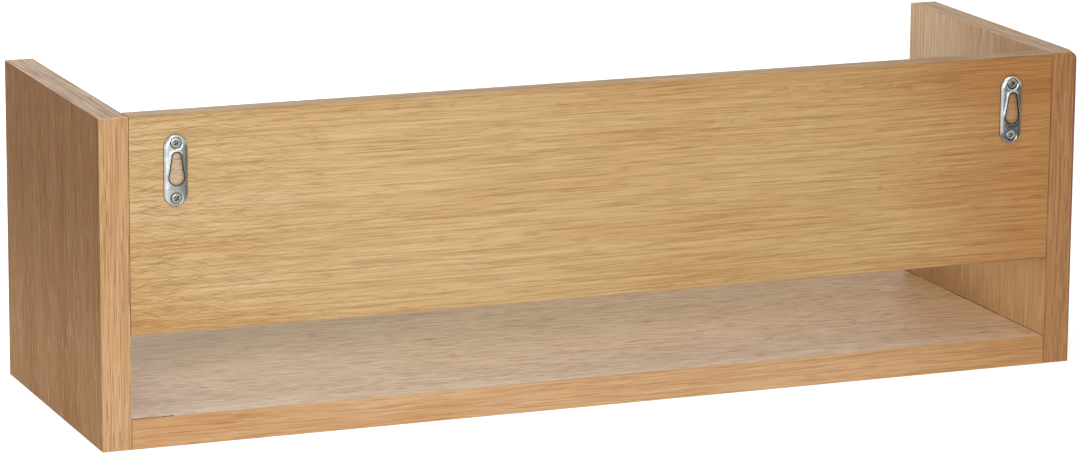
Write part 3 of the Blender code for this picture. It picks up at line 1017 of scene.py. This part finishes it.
def hanger_plate(side, centre):
    """One pressed plate: a flat sheet of triangles, raised to its form and thickened inwards."""
    points, edges = plate_points()
    flat, _, faces, *_ = geometry.delaunay_2d_cdt(
        [Vector(p) for p in points], edges, [], 0, POINT_GAP
    )
    bm = bmesh.new()
    verts = [
        bm.verts.new(centre + Vector((-p.x, PLATE_FOOT + plate_height(p.x, p.y), p.y)) * MM)
        for p in flat
    ]
    for face in faces:
        middle = sum((flat[i] for i in face), Vector((0, 0))) / len(face)
        from_keyhole, from_seat = keyhole_distance(*middle), seat_distance(*middle)
        if from_keyhole > 0 and from_seat > SEAT_HOLE - POINT_GAP:
            sheet = bm.faces.new([verts[i] for i in face])
            # Faces in the bands round the keyhole, a seat or the rim take the dark tone, as painted
            # shade
            sheet.material_index = int(
                from_keyhole < KEYHOLE_BAND
                or from_seat < SEAT_BAND
                or edge_distance(*middle) < RIM_BAND
            )
    bmesh.ops.delete(bm, geom=[v for v in bm.verts if not v.link_faces], context="VERTS")
    name = f"{side}_hanger_plate"
    plate = add_piece(f"{name}_pressing", bm, [zinc_sheet, sheared_edge_and_shade], "zinc_plated_plate", name)
    # The sheet faces away from the wood, and is thickened towards it.
    if sum(p.normal.y * p.area for p in plate.data.polygons) < 0:
        plate.data.flip_normals()
    plate.data.shade_smooth()
    shell = plate.modifiers.new("sheet", "SOLIDIFY")
    shell.thickness = SHEET * MM
    shell.offset = -1
    shell.material_offset_rim = 1
    apply_modifiers(plate)
    plate.data.set_sharp_from_angle(angle=math.radians(55))


# Countersunk screws

# In millimetres. A screw is made upright, with its head's top at zero.
HEAD_RADIUS = 3.1
SHANK_RADIUS = 1.6
HEAD_TOP = 2.02  # from the wood up to the flat of the head
SCREW_LENGTH = 12.95
TURNED_STEPS = 48

# Radius and height, from the flat of the head over its rounded rim to the start of the point
SCREW_PROFILE = (
    (2.5, 0), (2.9, -0.02), (3.04, -0.08), (HEAD_RADIUS, -0.2), (3.04, -0.3),
    (SHANK_RADIUS + 0.15, -1.55), (SHANK_RADIUS, -1.75),
    (SHANK_RADIUS, 3 - SCREW_LENGTH), (0.7, 1.2 - SCREW_LENGTH),
)

RECESS_REACH, RECESS_HALF_WIDTH, RECESS_DEPTH = 1.75, 0.42, 1.1
RECESS_CORNER = RECESS_HALF_WIDTH * 1.35  # the cross is filled out between its arms

# What share of the cross is cut at each height, up to clear of the head
RECESS_SHARES = ((0.5, -RECESS_DEPTH), (1, 0), (1.1, 0.5))

# How far round the recess, and from how far below the head's top, its painted shade shows
RECESS_MARGIN, RECESS_BRIM = 0.1, 0.05


def turned(x, y, angle):
    """A point turned about the origin."""
    return x * math.cos(angle) - y * math.sin(angle), x * math.sin(angle) + y * math.cos(angle)


def skin_rings(bm, rings):
    """Faces between rings of points that follow one another."""
    for one, two in zip(rings, rings[1:]):
        for i in range(len(one)):
            bm.faces.new((one[i - 1], one[i], two[i], two[i - 1]))


def screw_body():
    """A head, shank and point turned from their profile."""
    bm = bmesh.new()
    angles = [2 * math.pi * i / TURNED_STEPS for i in range(TURNED_STEPS)]
    rings = [
        [bm.verts.new((radius * math.cos(a), radius * math.sin(a), z)) for a in angles]
        for radius, z in SCREW_PROFILE
    ]
    skin_rings(bm, rings)
    tip = bm.verts.new((0, 0, -SCREW_LENGTH))
    for i in range(TURNED_STEPS):
        bm.faces.new((rings[-1][i - 1], rings[-1][i], tip))
    bm.faces.new(rings[0])
    return bm


def recess_cutter():
    """The cross that is cut out of a head. It narrows downwards."""
    bm = bmesh.new()
    arm = (
        (RECESS_REACH, -RECESS_HALF_WIDTH),
        (RECESS_REACH, RECESS_HALF_WIDTH),
        (RECESS_CORNER, RECESS_CORNER),
    )
    rings = [
        [
            bm.verts.new((*turned(x * share, y * share, quarter * math.pi / 2), z))
            for quarter in range(4)
            for x, y in arm
        ]
        for share, z in RECESS_SHARES
    ]
    skin_rings(bm, rings)
    bm.faces.new(rings[0])
    bm.faces.new(rings[-1])
    bmesh.ops.recalc_face_normals(bm, faces=bm.faces)
    return new_object("recess", bm)


def countersunk_screw(side, spot, centre, turn, lean):
    """A screw with a cross recess in its head, turned by an angle in degrees.

    It leans across and up by two more angles, about a point half way down its length.
    """
    recess = recess_cutter()
    name = f"{side}_hanger_{spot}_screw"
    materials = [zinc_screw, zinc_recess_painted_shade]
    screw = add_piece(f"{name}_head", screw_body(), materials, "zinc_plated_screw", name)
    cut = screw.modifiers.new("recess", "BOOLEAN")
    cut.operation = "DIFFERENCE"
    cut.solver = "EXACT"
    cut.object = recess
    apply_modifiers(screw)
    cutter_mesh = recess.data
    bpy.data.objects.remove(recess)
    bpy.data.meshes.remove(cutter_mesh)
    # Faces inside the recess take the darker tone, as painted shade
    for face in screw.data.polygons:
        x, y, z = face.center
        if math.hypot(x, y) < RECESS_REACH + RECESS_MARGIN:
            if -RECESS_DEPTH - RECESS_MARGIN < z < -RECESS_BRIM:
                face.material_index = 1
    half = SCREW_LENGTH / 2
    turn, across, up = (math.radians(angle) for angle in (turn, *lean))
    for vert in screw.data.vertices:
        x, y, z = vert.co
        x, y = turned(x, y, turn)
        z, x = turned(z + half, x, across)
        z, y = turned(z, y, up)
        vert.co = centre + Vector((-x, HEAD_TOP + z - half, y)) * MM
    screw.data.shade_smooth()
    screw.data.set_sharp_from_angle(angle=math.radians(35))


# Each screw's side and place, its way from the plate's middle, how far it was turned, and how
# it leans across and up, both in degrees
SCREWS = (
    ("right", "upper", 1, 38, (0, 0)),
    ("right", "lower", -1, 52, (1, -1)),
    ("left", "upper", 1, 38, (0.5, 1)),
    ("left", "lower", -1, 52, (-1, 4)),
)


def build_hangers():
    for side in SIDES:
        hanger_plate(side, plate_middle(side))
    for side, spot, way, turn, lean in SCREWS:
        at = plate_middle(side) + Vector((0, 0, way * SCREW_SPACING / 2 * MM))
        countersunk_screw(side, spot, at, turn, lean)


# Finishing the CAD nodes and building the pieces

for name in nodes:
    if "dowel" in name:
        finish_node(name, beech)
finish_node("back_board", oak_veneer_back)
finish_node("shelf_board", oak_veneer_shelf)
finish_node("right_side_board", oak_veneer_right_and_shade)
build_edging()
build_joint_lines()
build_hangers()


# Floor and light

# How far the floor reaches each way in metres, and how strongly its paper glows where it's seen
FLOOR_REACH = 4
FLOOR_GLOW = 0.6

# The room lights the shelf with a part of the white that cameras and gloss see
ROOM_LIGHT = 0.42


def seen_rays(tree):
    """One for rays from the camera, from gloss or through clear material, and zero for others."""
    path = add_node(tree, "ShaderNodeLightPath").outputs
    seen = path["Is Camera Ray"]
    for kind in ("Is Glossy Ray", "Is Transmission Ray"):
        seen = add_node(
            tree, "ShaderNodeMath", {0: seen, 1: path[kind]}, operation="ADD", use_clamp=True
        ).outputs[0]
    return seen


def build_floor():
    """A white sweep under the shelf. Cameras and gloss see it white, apart from the shadow."""
    bm = bmesh.new()
    bmesh.ops.create_grid(bm, x_segments=8, y_segments=8, size=FLOOR_REACH)
    floor = new_object("studio_floor", bm)
    material, tree, shader = new_material("studio_floor_paper")
    floor.data.materials.append(material)
    glow = add_node(
        tree, "ShaderNodeMath", {0: seen_rays(tree), 1: FLOOR_GLOW}, operation="MULTIPLY"
    )
    fibre = add_node(tree, "ShaderNodeTexNoise", {"Scale": 900, "Detail": 2})
    paper = add_node(
        tree,
        "ShaderNodeMix",
        {0: fibre.outputs["Fac"], 6: "#EDECEA", 7: "#F1F0EE"},
        data_type="RGBA",
    )
    tree.links.new(paper.outputs[2], shader.inputs["Base Color"])
    tree.links.new(glow.outputs[0], shader.inputs["Emission Strength"])
    shader.inputs["Emission Color"].default_value = linear("#FFFFFF")
    shader.inputs["Roughness"].default_value = 0.9
    shader.inputs["Specular IOR Level"].default_value = 0.1


def build_room():
    world = bpy.data.worlds.new("studio")
    bpy.context.scene.world = world
    world.use_nodes = True
    tree = world.node_tree
    strength = add_node(
        tree, "ShaderNodeMapRange", {"Value": seen_rays(tree), "To Min": ROOM_LIGHT, "To Max": 1}
    )
    background = tree.nodes["Background"]
    background.inputs["Color"].default_value = linear("#FFFFFF")
    tree.links.new(strength.outputs[0], background.inputs["Strength"])


def add_softbox(name, place, target, size, power):
    """A rectangular light that faces a target. Places are in metres, and its power in watts."""
    data = bpy.data.lights.new(name, "AREA")
    data.shape = "RECTANGLE"
    data.size, data.size_y = size
    data.energy = power
    lamp = bpy.data.objects.new(name, data)
    lamp.location = place
    lamp.rotation_euler = (Vector(target) - Vector(place)).to_track_quat("-Z", "Y").to_euler()
    lamp.visible_camera = False
    bpy.context.scene.collection.objects.link(lamp)


# The card's size and place in metres, the share of its width over which it goes from dark to
# pale, and how slowly it sets out from dark
CARD_SIZE = (2.3, 1.35)
CARD_PLACE = (-0.8, 0.8, 0.002)
CARD_GRADE, CARD_EASE = (0.5, 0.92), 2.3


def add_dark_card():
    """A graded card laid on the floor beyond the right of the picture. Only gloss sees it.

    Polished metal needs something dark to mirror, or its form doesn't show.
    """
    bm = bmesh.new()
    bmesh.ops.create_grid(bm, x_segments=4, y_segments=4, size=0.5)
    card = new_object("dark_card", bm)
    card.scale = (*CARD_SIZE, 1)
    card.location = CARD_PLACE
    material, tree, shader = new_material("studio_card_felt")
    card.data.materials.append(material)
    place = add_node(tree, "ShaderNodeTexCoord").outputs["Generated"]
    along = add_node(tree, "ShaderNodeSeparateXYZ", {0: place}).outputs["X"]
    dark, pale = CARD_GRADE
    grade = add_node(
        tree, "ShaderNodeMapRange", {"Value": along, "From Min": dark, "From Max": pale}
    ).outputs[0]
    grade = add_node(tree, "ShaderNodeMath", {0: grade, 1: CARD_EASE}, operation="POWER")
    felt = add_node(
        tree,
        "ShaderNodeMix",
        {0: grade.outputs[0], 6: "#24221F", 7: "#DEDCD8"},
        data_type="RGBA",
    )
    tree.links.new(felt.outputs[2], shader.inputs["Base Color"])
    shader.inputs["Roughness"].default_value = 1
    for ray in ("camera", "diffuse", "transmission", "shadow"):
        setattr(card, f"visible_{ray}", False)


build_floor()
build_room()
add_dark_card()
for name, place, target, size, power in (
    ("key", (0.42, 1.3, 0.42), (0, 0.1, 0.1), (0.9, 0.5), 7.2),
    ("overhead", (0.3, 0.5, 1.7), (0, 0, 0.1), (1.4, 0.9), 8),
    ("front_fill", (0.5, -2.1, 1.0), (0, 0, 0.1), (1.6, 1.0), 18),
):
    add_softbox(name, place, target, size, power)


# Camera

# From a fit of the photograph's corners and edges. The sensor and lens are in millimetres.
AZIMUTH, ELEVATION, ROLL = (math.radians(a) for a in (22.024, 12.493, -0.433))
AIM = Vector((0.04367, REAR, 0.11479))
DISTANCE = 2.860667
SENSOR, LENS = 36, 157.87


def add_camera():
    back = Vector((
        math.sin(AZIMUTH) * math.cos(ELEVATION),
        math.cos(AZIMUTH) * math.cos(ELEVATION),
        math.sin(ELEVATION),
    ))
    level = Vector((0, 0, 1)).cross(back).normalized()
    upright = back.cross(level)
    across = math.cos(ROLL) * level - math.sin(ROLL) * upright
    up = math.sin(ROLL) * level + math.cos(ROLL) * upright
    data = bpy.data.cameras.new("photo_camera")
    data.sensor_width = SENSOR
    data.lens = LENS
    camera = bpy.data.objects.new("photo_camera", data)
    matrix = camera.matrix_world.copy()
    for row in range(3):
        matrix[row][0], matrix[row][1], matrix[row][2] = across[row], up[row], back[row]
        matrix[row][3] = AIM[row] + back[row] * DISTANCE
    camera.matrix_world = matrix
    bpy.context.scene.collection.objects.link(camera)
    bpy.context.scene.camera = camera


add_camera()
bpy.context.scene.view_settings.view_transform = "Standard"
